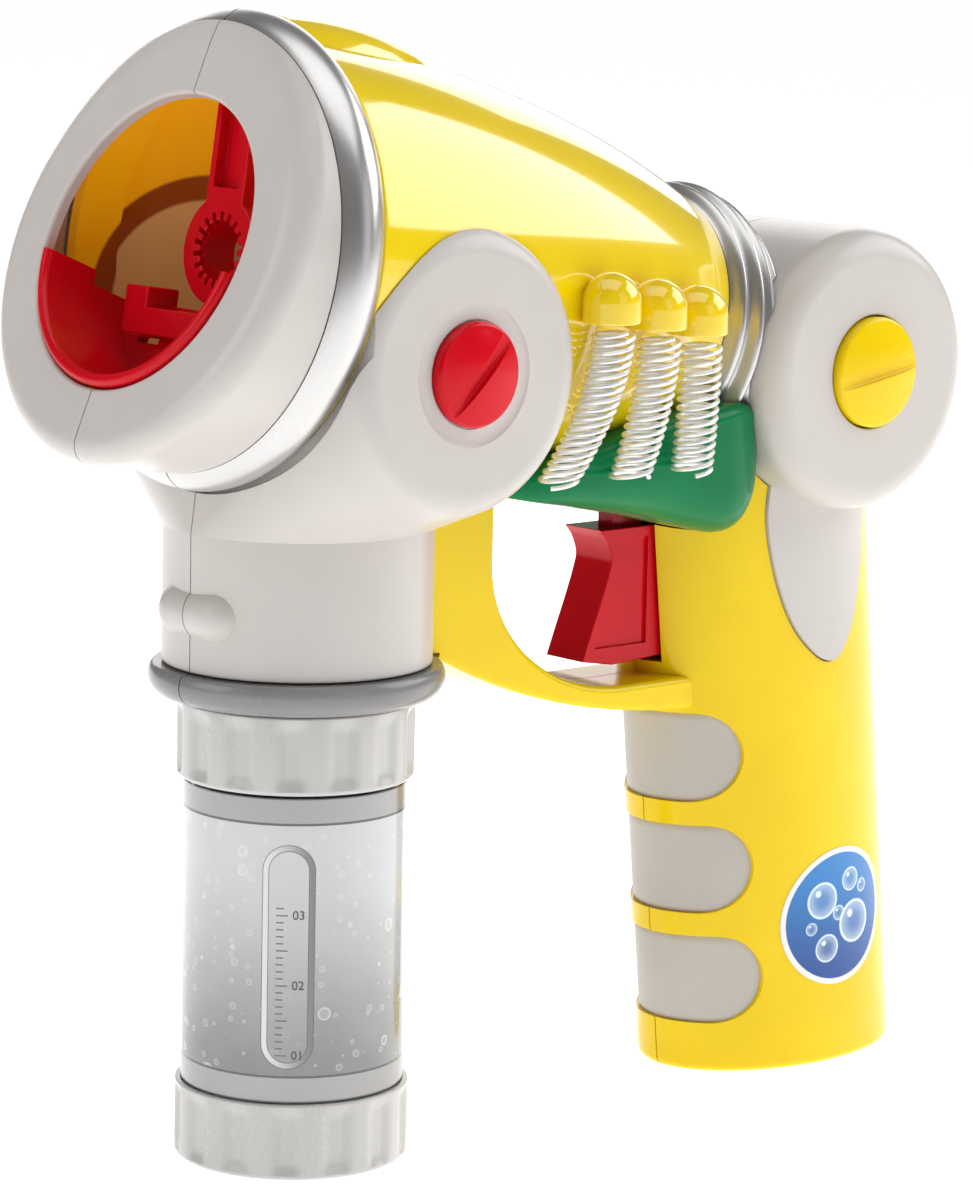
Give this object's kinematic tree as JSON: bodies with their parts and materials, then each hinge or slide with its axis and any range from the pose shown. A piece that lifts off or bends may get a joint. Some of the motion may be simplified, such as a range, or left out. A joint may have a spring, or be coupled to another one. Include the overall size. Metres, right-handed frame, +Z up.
{
  "type": "bubble gun",
  "caption": "Battery toy bubble gun with a slanted round mouth, tapering barrel hung with side springs, bottle screwed under the muzzle, trigger, and a grip with finger pads",
  "frame": {"origin": "centre of the bottle's flat base, which stands on the floor together with the grip's base", "axes": "+Z up along the bottle, -Y towards the muzzle, +X to the gun's left side; X = 0 is the middle plane of the moulded halves"},
  "size_m": [0.0818, 0.1852, 0.1904],
  "materials": {
    "white": "moulded satin light warm grey",
    "yellow": "moulded glossy yellow",
    "red": "moulded glossy red",
    "green": "moulded satin green",
    "silver": "silver paint on plastic",
    "grey": "moulded grey",
    "spring_steel": "bright wire and strip",
    "bottle": "clear plastic with a printed grey label",
    "bottle_ring": "moulded light grey",
    "rubber": "soft black",
    "nylon": "natural nylon",
    "tubing": "milky flexible tube",
    "black": "black moulding",
    "cell": "wrapped cell",
    "motor_can": "plated can"
  },
  "bodies": {
    "gun": {"bezel_left": "white", "muzzle_ring_left": "silver", "barrel_left": "yellow", "socket_left": "white", "ear_knob_left": "red", "collar_ring_left": "grey", "rear_housing_left": "white", "rear_knob_left": "yellow", "pod_left": "green", "grip_left": "yellow", "side_spring_left_1": "spring_steel", "side_spring_left_2": "spring_steel", "side_spring_left_3": "spring_steel", "bezel_right": "white", "muzzle_ring_right": "silver", "barrel_right": "yellow", "socket_right": "white", "ear_knob_right": "red", "collar_ring_right": "grey", "rear_housing_right": "white", "rear_knob_right": "yellow", "pod_right": "green", "grip_right": "yellow", "side_spring_right_1": "spring_steel", "side_spring_right_2": "spring_steel", "side_spring_right_3": "spring_steel", "bellows_neck": "silver", "finger_pad_1": "white", "finger_pad_2": "white", "finger_pad_3": "white", "bottle_seal": "rubber", "neck_insert": "nylon", "dip_tube": "tubing", "trigger_spring": "spring_steel", "switch": "black", "battery_front": "cell", "battery_rear": "cell", "contact_bottom": "spring_steel", "contact_top": "spring_steel", "motor": "motor_can", "air_duct": "white", "gear_plate": "white", "pump_housing": "white", "hose": "tubing", "bubble_wand": "red", "drip_tray": "red", "wiper_pin": "spring_steel"},
    "bottle": {"bottle_body": "bottle", "bottle_cap_ring": "bottle_ring", "bottle_base_cup": "bottle_ring"},
    "trigger": {"trigger": "red"},
    "wiper": {"wiper_lever": "red"},
    "fan": {"fan": "white", "motor_shaft": "spring_steel", "motor_pinion": "nylon"},
    "compound_gear": {"compound_gear": "nylon"},
    "pump_rotor": {"pump_rotor": "nylon"},
    "battery_door": {"battery_door": "yellow"}
  },
  "joints": [
    {"name": "bottle_turn", "type": "hinge", "parent": "gun", "child": "bottle", "pos_m": [0, 0, 0.07], "axis": [0, 0, 1], "range_deg": [0, 360]},
    {"name": "trigger_pull", "type": "slide", "parent": "gun", "child": "trigger", "axis": [0, 1, 0], "range_m": [0, 0.008], "stiffness_N_per_m": 300, "springref_m": -0.004, "deforming": ["trigger_spring"]},
    {"name": "wiper_swing", "type": "hinge", "parent": "gun", "child": "wiper", "pos_m": [0, 0.07197, 0.1225], "axis": [-1, 0, 0], "range_deg": [0, 8.01]},
    {"name": "fan_spin", "type": "hinge", "parent": "gun", "child": "fan", "pos_m": [0, 0.02695, 0.14531], "axis": [0, 0.989, -0.1478], "continuous": true},
    {"name": "compound_spin", "type": "hinge", "parent": "gun", "child": "compound_gear", "pos_m": [0, 0.06039, 0.15052], "axis": [0, 0.989, -0.1478], "continuous": true},
    {"name": "pump_spin", "type": "hinge", "parent": "gun", "child": "pump_rotor", "pos_m": [0, 0.06651, 0.1394], "axis": [0, 0.989, -0.1478], "continuous": true},
    {"name": "battery_door_slide", "type": "slide", "parent": "gun", "child": "battery_door", "axis": [-1, 0, 0], "range_m": [0, 0.012]}
  ],
  "couplings": [
    {"joint": "wiper_swing", "follows": "trigger_pull", "rad_per_m": 17.453},
    {"joint": "compound_spin", "follows": "fan_spin", "ratio": -0.55556},
    {"joint": "pump_spin", "follows": "fan_spin", "ratio": 0.30864}
  ]
}
